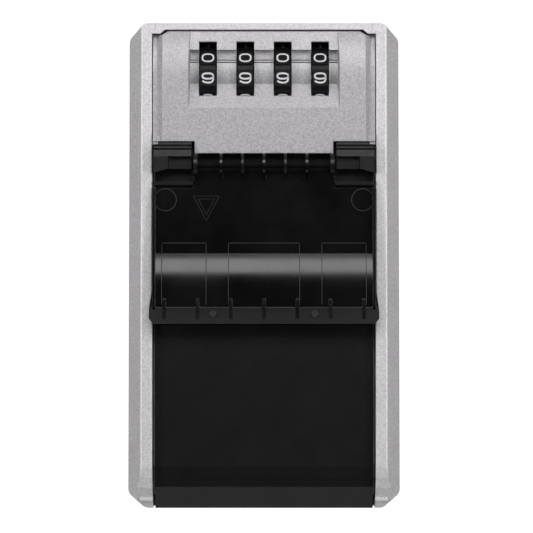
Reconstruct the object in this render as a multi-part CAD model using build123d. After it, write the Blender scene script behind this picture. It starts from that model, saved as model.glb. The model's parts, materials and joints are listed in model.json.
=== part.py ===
from build123d import *
import os
from math import sqrt

# Combination key safe. Millimetres. X is to the right, the front faces -Y, Z is up.
# The origin is the centre of the back face, which lies against the wall.

# Case: a deep die-cast tub, open at the front
case_width = 103.0
case_height = 183.5
case_depth = 50.0
case_narrowing = 0.6
case_back = 3.0
case_side = 4.5
case_top = 2.4
case_bottom = 3.0
case_top_corner = 5.9
case_bottom_corner = 6.3
case_corner_radius = 3.5
case_edge_radius = 1.2
rim_bevel_width = 4.9
rim_bevel_depth = 6.0
rim_width = 4.4
rim_thickness = 5.0
rim_edge_radius = 0.5
front_bend_height = 11.0
slant_run = 7.5
slant_rise = 8.3
slant_bend_rise = 5.0
slant_bend_run = 1.5
opening_corner_inset = 4.8
opening_corner_step = 3.0
opening_corner_drop = 1.5
top_bar_inset = 1.2
top_bar_setback = 0.35
wall_hole_spacing_x = 60.0
wall_hole_spacing_z = 120.0
wall_hole_radius = 3.25
wall_hole_sink = 5.5
overrun = 1.0

# Door: one die casting over the whole front, hinged along its lower edge
door_gap = 0.8
panel_proud = 2.0
panel_thickness = 2.5
panel_top_gap = 0.35
panel_flange_width = 3.6
panel_flange_gap = 0.3
panel_flange_strip = 1.6
panel_bottom_drop = 49.1
panel_notch_bottom_drop = 44.6
panel_notch_width = 15.8
panel_step_width = 2.0
panel_step_drop = 1.1
crown_radius = 40.0
crown_drop = 19.5
crown_sweep = 35.0
panel_corner_cut = 2.3
panel_edge_radius = 0.6
skin_setback = 5.0
door_web_thickness = 2.5
door_wall = 3.2
door_back_inset = 29.5
door_deep_bottom_drop = 67.5
door_lower_back_inset = 16.0
door_rear_top_drop = 8.5
door_top_wall_back_inset = 8.0
door_pin_inset = 12.5
door_pin_rise = 8.5
door_pin_radius = 1.5
door_barrel_radius = 3.6
pin_fit = 0.05
swing_margin = 0.2
neck_rise = 1.0
backing_margin = 1.0
seat_fit = 0.02
piece_gap = 0.4

# Dials and their axle
dial_count = 4
dial_pitch = 14.1
dial_radius = 13.5
dial_land_radius = 13.05
dial_width = 6.0
dial_axis_depth = 13.6
dial_axis_drop = 20.2
dial_first_digit_angle = -2.5
digit_count = 10
groove_width = 2.0
groove_depth = 0.9
dial_bore_radius = 5.0
dial_edge_radius = 0.35
axle_radius = 2.0
spacer_radius = 3.2
slot_side_gap = 0.35
slot_round_gap = 0.3
slot_top_rise = 13.3
pocket_half_width = 28.5
pocket_draft = 0.9
pocket_top_rise = 17.4
pocket_bottom_rise = -11.7
pocket_depth = 4.8
pocket_upper_top_depth = 0.1
pocket_upper_low_depth = 0.9
pocket_lower_depth = 3.6
pocket_low_rise = -2.6
pocket_groove_low_rise = 6.7
pocket_high_rise = 10.1
pocket_crest_low_rise = 5.3
pocket_crest_high_rise = 6.3
pocket_crest_depth = 3.4
pocket_barrel_depth = 3.0
pocket_barrel_rise = 2.1
pocket_wall = 1.7
ear_thickness = 3.0
ear_gap = 1.1
ear_half_height = 5.5
code_wheel_radius = 5.6
code_wheel_width = 2.8
code_slot_width = 3.2
code_slot_floor = 3.0

# Release slide, its tabs and bolts
slide_travel = 3.0
slide_plate_inset = 26.2
slide_plate_thickness = 1.6
slide_bar_top_drop = 7.5
slide_bar_bottom_drop = 15.5
slide_foot_top_drop = 45.5
slide_foot_bottom_drop = 59.5
slide_arm_width = 6.0
slide_arm_gap = 1.5
finger_width = 2.2
finger_depth = 2.4
finger_clearance = 1.0
bolt_front_inset = 11.4
bolt_nose_back_inset = 16.0
bolt_width = 4.2
bolt_inset = 0.4
bolt_block_top_drop = 9.7
bolt_top_drop = 4.3
tab_inner_gap = 1.1
tab_outer_gap = 0.7
tab_proud = 2.5
tab_top_drop = 0.5
tab_edge_drop = 5.8
tab_bottom_drop = 10.5
tab_scoop_depth = 2.4
tab_scoop_width = 9.1
tab_scoop_run = 0.6
tab_lean = 1.2
tab_groove = 0.5
tab_low_drop = 12.0
tab_grooves = 2
tab_first_groove_drop = 1.15
tab_groove_pitch = 1.3
stem_width = 5.0
stem_top_drop = 46.3
stem_bottom_drop = 50.7
spring_x = 20.0
spring_radius = 2.3
spring_wire = 0.3
spring_turns = 7
spring_shelf_top_drop = 69.5
spring_shelf_thickness = 2.5

# Reset comb
reset_travel = 3.0
comb_clearance = 0.8
comb_side_gap = 3.0
comb_height = 10.0
knob_half_width = 4.0
knob_height = 5.0
knob_rise = 1.0

# Strike, plugs, liner and hooks in the case
strike_thickness = 1.5
strike_engagement = 2.0
strike_front_inset = 9.4
strike_length = 11.6
strike_half_width = 6.0
plug_x = 28.5
plug_y = -20.0
plug_radius = 6.0
plug_stem_radius = 4.6
plug_proud = 0.35
liner_thickness = 1.2
liner_edge_gap = 1.5
hook_bar_half_width = 22.0
hook_bar_height = 8.0
hook_bar_thickness = 1.5
hook_bar_z = 8.0
hook_x = 14.0
hook_reach = 8.0
hook_rise = 5.0
hook_wire_radius = 1.0

# Black lower cover of the door
skin_thickness = 2.5
skin_slant_thickness = 2.0
skin_foot_drop = 0.3
lug_thickness = 1.05
end_lug_thickness = 1.5
lug_radius = 4.2
lug_pitch = 8.05
end_lug_inset = 0.45
lug_root_rise = 3.4
lug_root_drop = 2.9
tab_well_lip_top_drop = 59.9
tab_well_lip_height = 1.2
tab_well_lip_reach = 4.6

# Weather cover: a flap on a pin across the front, stored hanging open
flap_axis_proud = 2.0
flap_axis_drop = 53.4
flap_pin_radius = 1.5
flap_side_gap = 0.2
flap_thickness = 1.8
flap_offset = 4.0
flap_top_drop = 3.2
flap_notch_drop = 8.7
flap_notch_gap = 0.4
flap_crease_drop = 33.6
flap_bend_end_drop = 46.1
flap_low_offset = 1.2
flap_lip_root_drop = 53.7
flap_lip_drop = 59.7
flap_lip_reach = 5.6
flap_lip_overhang = 1.0
flap_side_height = 1.6
flap_side_width = 1.0
flap_rib_thickness = 1.1
flap_rib_pitch = 12.5
flap_rib_top_drop = 50.6
flap_rib_bottom_drop = 58.3
flap_rib_reach = 4.2
flap_rib_foot_reach = 3.4
flap_arm_rise = 3.8
bumper_x = 19.1
bumper_drop = 56.1
bumper_radius = 1.35
bumper_height = 1.2

# Screws
screw_radius = 1.0
screw_head_radius = 1.6
screw_head_height = 1.0
cover_screw_inset = 6.0
plate_screw_inset = 3.0
plate_screw_length = 6.0
strike_screw_length = 3.0

case_half = case_width / 2
top_half = case_half - case_narrowing
z_top = case_height / 2
z_bottom = -case_height / 2
opening_half = case_half - rim_bevel_width - rim_width
opening_top = z_top - case_top
cavity_half = case_half - case_side
cavity_bottom = z_bottom + case_bottom
panel_front = -(case_depth + panel_proud)
panel_inner = panel_front + panel_thickness
panel_top = opening_top - panel_top_gap
crown_centre_y = panel_front + crown_radius
crown_z = z_top - crown_drop
panel_flange_half_width = opening_half - panel_flange_gap
panel_half_width = panel_flange_half_width - panel_flange_width
panel_notch_inner = panel_flange_half_width - panel_notch_width
slide_arm_outer = panel_flange_half_width - door_wall - slide_arm_gap
slide_arm_inner = slide_arm_outer - slide_arm_width
bolt_outer = slide_arm_outer - bolt_inset
bolt_inner = bolt_outer - bolt_width
panel_step_x = panel_flange_half_width - panel_step_width
tab_inner = panel_notch_inner + tab_inner_gap
tab_outer = opening_half - tab_outer_gap
tab_scoop_outer = tab_inner + tab_scoop_width
stem_outer = slide_arm_outer
stem_inner = stem_outer - stem_width
comb_half_width = slide_arm_inner - comb_side_gap
strike_x = (bolt_inner + bolt_outer) / 2
end_lug_x = panel_notch_inner - end_lug_inset
flap_half_width = opening_half - flap_side_gap
flap_notch_x = panel_notch_inner + flap_notch_gap
flap_lip_half_width = opening_half + flap_lip_overhang
flap_axis_y = panel_front - flap_axis_proud
tab_front = panel_front - tab_proud
door_web_front = panel_front + skin_setback + skin_thickness
door_back = -case_depth + door_back_inset
door_lower_back = -case_depth + door_lower_back_inset
door_top_wall_back = -case_depth + door_top_wall_back_inset
door_pin_y = -case_depth + door_pin_inset
door_pin_z = z_bottom + door_pin_rise
slide_plate_front = -case_depth + slide_plate_inset
bolt_front = -case_depth + bolt_front_inset
bolt_nose_back = -case_depth + bolt_nose_back_inset
strike_front = -case_depth + strike_front_inset
strike_back = strike_front + strike_length
panel_bottom = z_top - panel_bottom_drop
panel_notch_bottom = z_top - panel_notch_bottom_drop
dial_axis_z = z_top - dial_axis_drop
slide_bar_top = z_top - slide_bar_top_drop
slide_bar_bottom = z_top - slide_bar_bottom_drop
slide_foot_top = z_top - slide_foot_top_drop
slide_foot_bottom = z_top - slide_foot_bottom_drop
bolt_block_top = z_top - bolt_block_top_drop
bolt_top = z_top - bolt_top_drop
stem_top = z_top - stem_top_drop
stem_bottom = z_top - stem_bottom_drop
spring_shelf_top = z_top - spring_shelf_top_drop
door_deep_bottom = z_top - door_deep_bottom_drop
door_rear_top = z_top - door_rear_top_drop
tab_well_lip_top = z_top - tab_well_lip_top_drop
flap_axis_z = z_top - flap_axis_drop
flap_top = flap_axis_z - flap_top_drop
flap_notch_z = flap_axis_z - flap_notch_drop
flap_crease_z = flap_axis_z - flap_crease_drop
flap_bend_end_z = flap_axis_z - flap_bend_end_drop
flap_lip_root_z = flap_axis_z - flap_lip_root_drop
flap_lip_z = flap_axis_z - flap_lip_drop
flap_rib_top = flap_axis_z - flap_rib_top_drop
flap_rib_bottom = flap_axis_z - flap_rib_bottom_drop
bumper_z = flap_axis_z - bumper_drop
slot_top = dial_axis_z + slot_top_rise
pocket_top = dial_axis_z + pocket_top_rise
pocket_bottom = dial_axis_z + pocket_bottom_rise
pocket_low_z = dial_axis_z + pocket_low_rise
pocket_high_z = dial_axis_z + pocket_high_rise
pocket_groove_low_z = dial_axis_z + pocket_groove_low_rise
pocket_crest_low_z = dial_axis_z + pocket_crest_low_rise
pocket_crest_high_z = dial_axis_z + pocket_crest_high_rise
panel_step_z = panel_notch_bottom - panel_step_drop
tab_top = panel_notch_bottom - tab_top_drop
tab_edge_z = panel_notch_bottom - tab_edge_drop
tab_bottom = panel_notch_bottom - tab_bottom_drop
tab_low = panel_notch_bottom - tab_low_drop
skin_front = door_web_front - skin_thickness
skin_half_width = opening_half - door_gap
skin_foot_z = z_bottom - skin_foot_drop
door_web_back = door_web_front + door_web_thickness
dial_y = panel_front + dial_axis_depth
ear_inner = (dial_count - 1) / 2 * dial_pitch + dial_width / 2 + code_wheel_width + ear_gap
slide_back = slide_plate_front + slide_plate_thickness
front_bend_z = z_bottom + front_bend_height + slant_bend_rise
digit_step = 360 / digit_count
stem_x = (stem_inner + stem_outer) / 2
stem_z = (stem_top + stem_bottom) / 2
comb_tip = dial_axis_z - code_wheel_radius - comb_clearance
knob_bottom = comb_tip - comb_height + knob_rise
cover_screw_x = panel_half_width - cover_screw_inset
cover_screw_z = (front_bend_z + cover_screw_inset, door_deep_bottom - cover_screw_inset)
plate_screw_x = panel_flange_half_width - door_wall / 2
plate_screw_z = (door_deep_bottom + plate_screw_inset, door_rear_top - plate_screw_inset)
strike_screw_y = strike_back - 2 * screw_radius


def block(x0, x1, y0, y1, z0, z1):
    """A box between two corners."""
    size = Box(abs(x1 - x0), abs(y1 - y0), abs(z1 - z0))
    return Pos((x0 + x1) / 2, (y0 + y1) / 2, (z0 + z1) / 2) * size


def side_prism(outline, x0, x1):
    """A side outline of (y, z) points, from x0 to x1."""
    face = make_face(Plane.YZ.offset(x0) * Polyline(*outline, close=True))
    return extrude(face, amount=x1 - x0, dir=(1, 0, 0))


def front_prism(outline, y0, y1):
    """A front outline of (x, z) points, from y0 to y1."""
    face = make_face(Plane.XZ.offset(-y0) * Polyline(*outline, close=True))
    return extrude(face, amount=abs(y1 - y0), dir=(0, 1 if y1 > y0 else -1, 0))


def plan_prism(outline, z0, z1):
    """A plan outline of (x, y) points, from z0 to z1."""
    face = make_face(Plane.XY.offset(z0) * Polyline(*outline, close=True))
    return extrude(face, amount=z1 - z0, dir=(0, 0, 1))


def rod_x(radius, x0, x1, y, z):
    """A round bar along X."""
    bar = Rot(0, 90, 0) * Cylinder(radius, abs(x1 - x0))
    return Pos((x0 + x1) / 2, y, z) * bar


def rod_y(radius, y0, y1, x, z):
    """A round bar along Y."""
    bar = Rot(90, 0, 0) * Cylinder(radius, abs(y1 - y0))
    return Pos(x, (y0 + y1) / 2, z) * bar


def rod_z(radius, z0, z1, x, y):
    """A round bar along Z."""
    return Pos(x, y, (z0 + z1) / 2) * Cylinder(radius, abs(z1 - z0))


def mirrored(points):
    """The right half of an outline, then its mirror image on the left."""
    return points + [(-x, z) for x, z in reversed(points)]


def crown_y(z, front):
    """How far forward a face of the door lies at this height, since its top leans back."""
    rise = max(0, z - crown_z)
    return crown_centre_y - sqrt((crown_centre_y - front) ** 2 - rise ** 2)


def crowned(plan, z0, z1):
    """A plan outline of (x, y) points, carried straight up and then back over the crown."""
    section = make_face(Plane.XY.offset(crown_z) * Polyline(*plan, close=True))
    axis = Axis((0, crown_centre_y, crown_z), (-1, 0, 0))
    shape = plan_prism(plan, z0, crown_z) + revolve(section, axis=axis, revolution_arc=crown_sweep)
    return shape & block(-case_half, case_half, panel_front, 0, z0, z1)


def both_sides(piece):
    """A piece on the right and its mirror image on the left."""
    return piece + mirror(piece, about=Plane.YZ)


def screw(x, z, head_y, tip_y):
    """A pan-head screw along Y, its head on the inside of the door or case."""
    head = rod_y(screw_head_radius, head_y, head_y + screw_head_height, x, z)
    return head + rod_y(screw_radius, tip_y, head_y, x, z)


def strike_screw(x):
    """A pan-head screw that goes up through a strike into the top wall."""
    seat = opening_top - strike_thickness
    head = rod_z(screw_head_radius, seat - screw_head_height, seat, x, strike_screw_y)
    return head + rod_z(screw_radius, seat, seat + strike_screw_length, x, strike_screw_y)


def save(name, shape):
    export_step(shape, f"parts/{name}.step")


os.makedirs("parts", exist_ok=True)


def case_front_outline():
    """The case as seen from the front, with its cut corners."""
    return mirrored([
        (case_half - case_bottom_corner, z_bottom),
        (case_half, z_bottom + case_bottom_corner),
        (top_half, z_top - case_top_corner),
        (top_half - case_top_corner, z_top),
    ])


def case_front_prism():
    """The case's front outline with soft corners, through its whole depth."""
    face = make_face(Plane.XZ * Polyline(*case_front_outline(), close=True))
    face = fillet(face.vertices(), case_corner_radius)
    return extrude(face, amount=case_depth, dir=(0, -1, 0))


def slanted_front(front):
    """The bottom of a side outline, where the front leans back to the lower edge."""
    bend_z = z_bottom + slant_rise
    bend_y = front + slant_bend_run
    return [
        (front, front_bend_z),
        (front + slant_bend_run / 4, (front_bend_z + bend_z) / 2),
        (bend_y, bend_z),
        (bend_y + slant_run, z_bottom),
    ]


def make_housing():
    """The tub: back, sides, top, bottom and a rim that turns in round the opening."""
    bevel_y = -(case_depth - rim_bevel_depth)
    sections = []
    for z, half in ((z_bottom, case_half), (z_top, top_half)):
        outline = mirrored([
            (half, case_back),
            (half, bevel_y),
            (half - rim_bevel_width, -case_depth),
        ])
        section = make_face(Plane.XY.offset(z) * Polyline(*outline, close=True))
        bends = [corner for corner in section.vertices() if corner.Y < bevel_y / 2]
        sections.append(fillet(bends, case_edge_radius))
    tub = loft(sections, ruled=True)
    tub = tub & case_front_prism()
    side_outline = [(0, z_bottom), (0, z_top), (-case_depth, z_top)]
    side_outline += slanted_front(-case_depth)
    tub = tub & side_prism(side_outline, -case_half, case_half)
    cavity = block(-cavity_half, cavity_half, -case_back, rim_thickness - case_depth,
                   cavity_bottom, opening_top)
    mouth_outline = mirrored([
        (opening_half, z_bottom - case_bottom),
        (opening_half, opening_top - opening_corner_drop),
        (opening_half - opening_corner_step, opening_top - opening_corner_drop),
        (opening_half - opening_corner_inset, opening_top),
    ])
    mouth = front_prism(mouth_outline, -case_depth - overrun, rim_thickness - case_depth)
    mouth += block(top_bar_inset - opening_half, opening_half - top_bar_inset,
                   -case_depth - overrun, top_bar_setback - case_depth,
                   opening_top - opening_corner_drop, z_top + overrun)
    sweep = slanted_swing_radius() + door_gap
    foot = rod_x(sweep, -opening_half, opening_half, door_pin_y, door_pin_z)
    foot += block(-opening_half, opening_half, -case_depth, door_pin_y,
                  z_bottom - overrun, cavity_bottom)
    tub = tub - cavity - mouth - foot
    lug = block(opening_half, cavity_half, rim_thickness - case_depth, door_lower_back,
                z_bottom + case_bottom, z_bottom + case_bottom + 2 * front_bend_height)
    tub = tub + both_sides(lug & case_front_prism())
    rim_edges = [edge for edge in tub.edges()
                 if edge.length > case_height / 2
                 and abs(abs(edge.center().X) - opening_half) < seat_fit
                 and abs(edge.center().Y + case_depth) < seat_fit]
    tub = fillet(rim_edges, rim_edge_radius)
    pin_half = cavity_half - piece_gap
    tub -= rod_x(door_pin_radius + seat_fit, -pin_half, pin_half, door_pin_y, door_pin_z)
    for x in (-wall_hole_spacing_x / 2, wall_hole_spacing_x / 2):
        for z in (-wall_hole_spacing_z / 2, wall_hole_spacing_z / 2):
            tub -= rod_y(wall_hole_radius, -case_back - overrun, overrun, x, z)
    for x in (-plug_x, plug_x):
        tub -= rod_z(plug_stem_radius + seat_fit, opening_top - overrun, z_top + overrun, x, plug_y)
    for x in (-strike_x, strike_x):
        tip = opening_top - strike_thickness + strike_screw_length
        tub -= rod_z(screw_radius + seat_fit, opening_top - overrun, tip + seat_fit,
                     x, strike_screw_y)
    return tub


def slanted_swing_radius():
    """How far the foot of the door reaches from its pin."""
    foot_y = skin_front + slant_bend_run + slant_run
    return sqrt((foot_y - door_pin_y) ** 2 + (skin_foot_z - door_pin_z) ** 2) + swing_margin


def make_strike(x):
    """A steel catch under the top wall; its front lip stops the bolt."""
    flange_bottom = opening_top - strike_thickness
    lip_bottom = bolt_top - strike_engagement
    x0 = x - strike_half_width / 2
    x1 = x + strike_half_width / 2
    flange = block(x0, x1, strike_front, strike_back, flange_bottom, opening_top)
    lip = block(x0, x1, strike_front, strike_front + strike_thickness, lip_bottom, opening_top)
    hole = rod_z(screw_radius + seat_fit, flange_bottom - overrun, opening_top + overrun,
                 x, strike_screw_y)
    return flange + lip - hole


def make_plug(x):
    """A rubber plug in a shackle hole of the top wall."""
    flange = rod_z(plug_radius, z_top, z_top + plug_proud, x, plug_y)
    stem = rod_z(plug_stem_radius, opening_top - plug_proud, z_top, x, plug_y)
    return flange + stem


def make_liner():
    """The rubber sheet on the back wall that keeps keys from rattling."""
    half = cavity_half - liner_edge_gap
    sheet = block(-half, half, -case_back - liner_thickness, -case_back,
                  cavity_bottom + liner_edge_gap, opening_top - liner_edge_gap)
    for x in (-wall_hole_spacing_x / 2, wall_hole_spacing_x / 2):
        for z in (-wall_hole_spacing_z / 2, wall_hole_spacing_z / 2):
            sheet -= rod_y(wall_hole_sink, -case_back - liner_thickness - overrun, 0, x, z)
    return sheet


def make_hook_bar():
    """A steel strip on the liner with two round-wire key hooks."""
    front = -case_back - liner_thickness - hook_bar_thickness
    z0 = hook_bar_z - hook_bar_height / 2
    z1 = hook_bar_z + hook_bar_height / 2
    bar = block(-hook_bar_half_width, hook_bar_half_width, front,
                front + hook_bar_thickness, z0, z1)
    for x in (-hook_x, hook_x):
        tip = front - hook_reach
        bar += rod_y(hook_wire_radius, tip, front, x, hook_bar_z)
        bar += rod_z(hook_wire_radius, hook_bar_z, hook_bar_z + hook_rise, x, tip)
        bar += Pos(x, tip, hook_bar_z) * Sphere(hook_wire_radius)
    return bar


def dial_x(index):
    return (index - (dial_count - 1) / 2) * dial_pitch


def wheel_x(index):
    """The middle of the code wheel beside a dial."""
    return dial_x(index) + dial_width / 2 + slot_side_gap + code_wheel_width / 2


def make_casting():
    """The door casting: dial panel, web behind the lower cover, walls and hinge barrel."""
    strip = panel_flange_half_width - panel_flange_strip
    plan = mirrored([
        (panel_flange_half_width, door_top_wall_back),
        (panel_flange_half_width, -case_depth),
        (strip, -case_depth),
        (panel_half_width, panel_front),
    ])
    body = crowned(plan, panel_bottom, panel_top)
    body = body & block(-case_half, case_half, panel_front, door_top_wall_back,
                        panel_bottom, panel_top)
    flange_top = opening_top - opening_corner_drop - panel_top_gap
    front_outline = mirrored([
        (panel_flange_half_width, panel_bottom),
        (panel_flange_half_width, flange_top),
        (panel_half_width, flange_top),
        (panel_half_width - panel_corner_cut, panel_top),
    ])
    body = body & front_prism(front_outline, 0, panel_front)
    top_edges = [edge for edge in body.edges().filter_by(Axis.X)
                 if edge.center().Z > panel_top - seat_fit]
    body = fillet(sorted(top_edges, key=lambda edge: edge.center().Y)[0], panel_edge_radius)
    wall_inner = panel_flange_half_width - door_wall
    shelf = panel_bottom + panel_thickness
    hollow = [(-wall_inner, panel_inner), (wall_inner, panel_inner),
              (wall_inner, bolt_front), (-wall_inner, bolt_front)]
    body -= crowned(hollow, shelf, panel_top - panel_thickness)
    for side in (-1, 1):
        body -= block(side * panel_notch_inner, side * panel_step_x, panel_front, door_web_front,
                      panel_bottom, panel_notch_bottom)
        body -= block(side * panel_step_x, side * case_half, panel_front, door_web_front,
                      panel_bottom, panel_step_z)
        body += block(side * (panel_notch_inner - panel_thickness), side * panel_flange_half_width,
                      panel_inner - panel_thickness / 2, door_web_back,
                      panel_notch_bottom, panel_notch_bottom + panel_thickness)
        body += block(side * (panel_notch_inner - panel_thickness), side * panel_notch_inner,
                      panel_inner - panel_thickness / 2, door_web_back,
                      panel_bottom, panel_notch_bottom)
        wall = block(side * wall_inner, side * panel_flange_half_width, door_web_front, door_back,
                     door_deep_bottom, door_rear_top)
        wall += block(side * wall_inner, side * panel_flange_half_width, door_web_front,
                      door_lower_back, front_bend_z, door_deep_bottom)
        body += wall
    half = panel_flange_half_width
    body += block(-half, half, door_web_front, door_web_back, front_bend_z, panel_notch_bottom)
    body += rod_x(door_barrel_radius, -half, half, door_pin_y, door_pin_z)
    neck_outline = [
        (door_web_front, front_bend_z + neck_rise),
        (door_pin_y - door_barrel_radius, door_pin_z),
        (door_pin_y, door_pin_z + door_barrel_radius / 2),
        (door_web_back, front_bend_z + neck_rise),
    ]
    body += side_prism(neck_outline, -half, half)
    body -= rod_x(door_pin_radius + pin_fit, -half - overrun, half + overrun,
                  door_pin_y, door_pin_z)

    # The wall behind the dials' pocket, and the ears that hold the axle
    backing_half = ear_inner + ear_thickness
    backing_front = panel_inner - panel_thickness / 2
    backing_back = panel_front + pocket_depth + pocket_wall
    backing = [(-backing_half, backing_front), (backing_half, backing_front),
               (backing_half, backing_back), (-backing_half, backing_back)]
    body += crowned(backing, pocket_bottom - backing_margin, panel_top - panel_thickness / 2)
    for side in (-1, 1):
        body += block(side * ear_inner, side * backing_half, backing_back - pocket_wall / 2,
                      dial_y + ear_half_height, dial_axis_z - ear_half_height,
                      dial_axis_z + ear_half_height)
    body -= rod_x(axle_radius + pin_fit, -backing_half - overrun, backing_half + overrun,
                  dial_y, dial_axis_z)

    # The pocket in front of the dials, and a slot for each
    body -= pocket_cutter()
    for index in range(dial_count):
        x = dial_x(index)
        half = dial_width / 2 + slot_side_gap
        body -= block(x - half, x + half, panel_front - overrun, dial_y, dial_axis_z, slot_top)
        body -= rod_x(dial_radius + slot_round_gap, x - half, x + half, dial_y, dial_axis_z)

    # Slots for the tabs' stems, the springs' shelf and holes for the screws
    for side in (-1, 1):
        body -= block(side * (stem_inner - piece_gap), side * (stem_outer + piece_gap),
                      door_web_front - overrun, door_web_back + overrun,
                      stem_bottom - slide_travel - piece_gap, stem_top + piece_gap)
        body += block(side * (spring_x - 2 * spring_radius), side * (spring_x + 2 * spring_radius),
                      door_web_back, slide_back, spring_shelf_top - spring_shelf_thickness,
                      spring_shelf_top)
        for z in cover_screw_z:
            body -= rod_y(screw_radius + seat_fit, door_web_front - overrun,
                          door_web_back + overrun, side * cover_screw_x, z)
        for z in plate_screw_z:
            body -= rod_y(screw_radius + seat_fit, door_back - plate_screw_length,
                          door_back + overrun, side * plate_screw_x, z)
    return body


def pocket_cutter():
    """The hollow round the dials: a flat field, a groove, a crest and a field that curves back."""
    front = panel_front - overrun
    deep = panel_front + pocket_depth
    crest = panel_front + pocket_crest_depth
    low = panel_front + pocket_lower_depth
    upper_top = crown_y(pocket_top, panel_front) + pocket_upper_top_depth
    upper_low = crown_y(pocket_high_z, panel_front) + pocket_upper_low_depth
    upper_lean = (upper_top - upper_low) / (pocket_top - pocket_high_z)
    lower_run = overrun * (pocket_low_z - pocket_bottom) / pocket_lower_depth
    path = [
        Line((front, pocket_top + overrun), (upper_top + upper_lean, pocket_top + overrun)),
        Line((upper_top + upper_lean, pocket_top + overrun), (upper_low, pocket_high_z)),
        Line((upper_low, pocket_high_z), (deep, pocket_high_z)),
        Line((deep, pocket_high_z), (deep, pocket_groove_low_z)),
        Line((deep, pocket_groove_low_z), (crest, pocket_crest_high_z)),
        Line((crest, pocket_crest_high_z), (crest, pocket_crest_low_z)),
        ThreePointArc((crest, pocket_crest_low_z),
                      (panel_front + pocket_barrel_depth, dial_axis_z + pocket_barrel_rise),
                      (low, pocket_low_z)),
        Line((low, pocket_low_z), (front, pocket_bottom - lower_run)),
        Line((front, pocket_bottom - lower_run), (front, pocket_top + overrun)),
    ]
    half = pocket_half_width + overrun
    side = make_face(Plane.YZ.offset(-half) * Curve(path))
    side = extrude(side, amount=2 * half, dir=(1, 0, 0))
    slope = overrun * pocket_draft / pocket_depth
    plan = mirrored([
        (pocket_half_width + slope, front),
        (pocket_half_width - pocket_draft, deep),
    ])
    return side & plan_prism(plan, dial_axis_z - case_half, dial_axis_z + case_half)


def make_axle():
    """The steel rod through the ears and all the dials."""
    half = ear_inner + ear_thickness
    return rod_x(axle_radius, -half, half, dial_y, dial_axis_z)


def make_spacer():
    """The sleeve that keeps the dials over to the right."""
    start = -ear_inner + piece_gap
    end = dial_x(0) - dial_width / 2 - piece_gap
    sleeve = rod_x(spacer_radius, start, end, dial_y, dial_axis_z)
    return sleeve - rod_x(axle_radius + seat_fit, start - overrun, end + overrun,
                          dial_y, dial_axis_z)


def make_dial(index):
    """A ten-sided dial: a flat land for each digit and a grip groove between each pair."""
    x = dial_x(index)
    half = dial_width / 2
    turn = -dial_first_digit_angle
    place = Pos(x - half, dial_y, dial_axis_z) * Rot(turn, 0, 0) * Rot(0, 90, 0)
    lands = RegularPolygon(dial_land_radius, digit_count, major_radius=False)
    ring = place * extrude(lands, amount=dial_width)
    ends = ring.faces().filter_by(Axis.X).edges()
    ring = chamfer(ends, dial_edge_radius)
    for step in range(digit_count):
        angle = dial_first_digit_angle + (step + 0.5) * digit_step
        groove = Box(dial_width + overrun, 2 * groove_depth, groove_width)
        place = Pos(x, dial_y, dial_axis_z) * Rot(-angle, 0, 0) * Pos(0, -dial_radius, 0)
        ring -= place * groove
    return ring - rod_x(dial_bore_radius, x - half - overrun, x + half + overrun,
                        dial_y, dial_axis_z)


def make_code_wheel(index):
    """The hub inside a dial and the wheel beside it, with the gate above and a slot below."""
    x = dial_x(index)
    half = dial_width / 2
    hub = rod_x(dial_bore_radius - seat_fit, x - half, x + half, dial_y, dial_axis_z)
    near = x + half
    far = wheel_x(index) + code_wheel_width / 2
    wheel = rod_x(code_wheel_radius, near, far, dial_y, dial_axis_z)
    gate = block(near, far + overrun, dial_y - code_slot_width / 2, dial_y + code_slot_width / 2,
                 dial_axis_z + code_slot_floor, dial_axis_z + dial_radius)
    slot = mirror(gate, about=Plane.XY.offset(dial_axis_z))
    body = hub + (wheel - gate - slot)
    return body - rod_x(axle_radius + pin_fit, x - half - overrun, far + overrun,
                        dial_y, dial_axis_z)


def make_detent():
    """A leaf spring under the dials, one tongue for each, pressed on the panel's back."""
    leaf = groove_depth / 2
    top = dial_axis_z - dial_radius - piece_gap
    reach = dial_x(dial_count - 1) + dial_width / 2
    foot = block(-reach, reach, panel_inner, panel_inner + leaf, top - dial_width, top)
    for index in range(dial_count):
        x = dial_x(index)
        tongue = block(x - dial_width / 3, x + dial_width / 3, panel_inner, dial_y + leaf,
                       top - leaf, top)
        foot += tongue
    return foot


def make_slide_plate():
    """The steel slide behind the dials: a frame with a fence finger for each code wheel."""
    plate = block(-slide_arm_outer, slide_arm_outer, slide_plate_front, slide_back,
                  slide_foot_bottom, slide_bar_top)
    plate -= block(-slide_arm_inner, slide_arm_inner, slide_plate_front - overrun,
                   slide_back + overrun, slide_foot_top, slide_bar_bottom)
    tip = dial_axis_z + code_wheel_radius + finger_clearance
    arm_bottom = dial_axis_z + code_wheel_radius + slide_travel + piece_gap
    for index in range(dial_count):
        x0 = wheel_x(index) - finger_width / 2
        x1 = wheel_x(index) + finger_width / 2
        plate += block(x0, x1, dial_y - finger_depth / 2, slide_plate_front,
                       arm_bottom, slide_bar_top)
        plate += block(x0, x1, dial_y - finger_depth / 2, dial_y + finger_depth / 2,
                       tip, slide_bar_top)
    for side in (-1, 1):
        plate -= rod_y(screw_radius + seat_fit, slide_plate_front - overrun,
                       slide_back + overrun, side * stem_x, stem_z)
    return plate


def make_bolt():
    """The right latch bolt: a block on the slide with a nose that goes up behind the strike."""
    foot = block(bolt_inner, bolt_outer, bolt_front, slide_plate_front,
                 slide_bar_bottom, bolt_block_top)
    nose = block(bolt_inner, bolt_outer, bolt_front, bolt_nose_back, slide_bar_bottom, bolt_top)
    nose = chamfer(nose.edges().filter_by(Axis.X).sort_by(Axis.Z)[-2:], piece_gap)
    return foot + nose


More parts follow.
